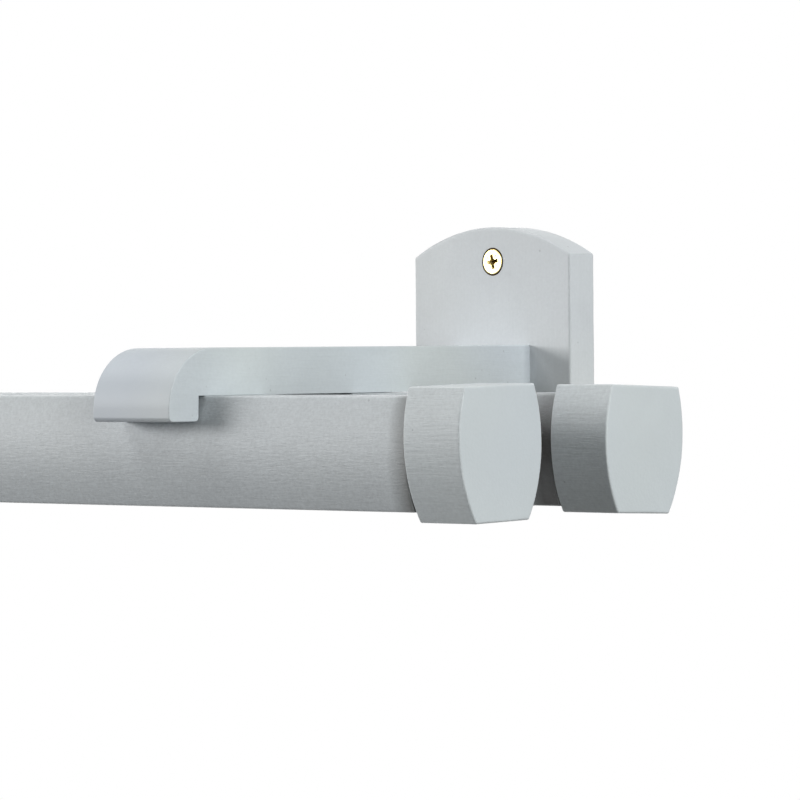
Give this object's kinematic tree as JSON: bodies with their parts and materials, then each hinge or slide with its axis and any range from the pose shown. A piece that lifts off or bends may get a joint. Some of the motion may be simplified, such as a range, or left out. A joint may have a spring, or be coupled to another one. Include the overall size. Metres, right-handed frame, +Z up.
{
  "type": "double curtain rod",
  "caption": "Double wooden curtain rod: parallel round rods hung under hooked wooden wall brackets, with barrel-sided end finials that turn on pegs.",
  "frame": {"origin": "middle of the four wall screws, on the wall plane, level with the middle of the bracket arms", "axes": "+X along the rods, +Y into the wall along the wall screws, +Z up"},
  "size_m": [1.2452, 0.2167, 0.094],
  "materials": {
    "painted_wood": "matte aluminium-grey paint over faint grain",
    "yellow_screw": "yellow zinc plated, bright",
    "bare_peg": "bare beech"
  },
  "bodies": {
    "root": {"front_rod": "painted_wood", "rear_rod": "painted_wood", "wall_plate_right": "painted_wood", "bracket_arm_right": "painted_wood", "wall_screw_upper_right": "yellow_screw", "wall_screw_lower_right": "yellow_screw", "arm_screw_outer_right": "yellow_screw", "arm_screw_inner_right": "yellow_screw", "rod_screw_front_right": "yellow_screw", "rod_screw_rear_right": "yellow_screw", "wall_plate_left": "painted_wood", "bracket_arm_left": "painted_wood", "wall_screw_upper_left": "yellow_screw", "wall_screw_lower_left": "yellow_screw", "arm_screw_outer_left": "yellow_screw", "arm_screw_inner_left": "yellow_screw", "rod_screw_front_left": "yellow_screw", "rod_screw_rear_left": "yellow_screw"},
    "finial_front_right": {"finial_front_right": "painted_wood", "finial_peg_front_right": "bare_peg"},
    "finial_rear_right": {"finial_rear_right": "painted_wood", "finial_peg_rear_right": "bare_peg"},
    "finial_front_left": {"finial_front_left": "painted_wood", "finial_peg_front_left": "bare_peg"},
    "finial_rear_left": {"finial_rear_left": "painted_wood", "finial_peg_rear_left": "bare_peg"}
  },
  "joints": [
    {"name": "finial_front_right_turn", "type": "hinge", "parent": "root", "child": "finial_front_right", "pos_m": [0.6001, -0.1505, -0.02495], "axis": [1, 0, 0], "continuous": true},
    {"name": "finial_rear_right_turn", "type": "hinge", "parent": "root", "child": "finial_rear_right", "pos_m": [0.6001, -0.085, -0.02495], "axis": [1, 0, 0], "continuous": true},
    {"name": "finial_front_left_turn", "type": "hinge", "parent": "root", "child": "finial_front_left", "pos_m": [-0.6001, -0.1505, -0.02495], "axis": [1, 0, 0], "continuous": true},
    {"name": "finial_rear_left_turn", "type": "hinge", "parent": "root", "child": "finial_rear_left", "pos_m": [-0.6001, -0.085, -0.02495], "axis": [1, 0, 0], "continuous": true}
  ]
}
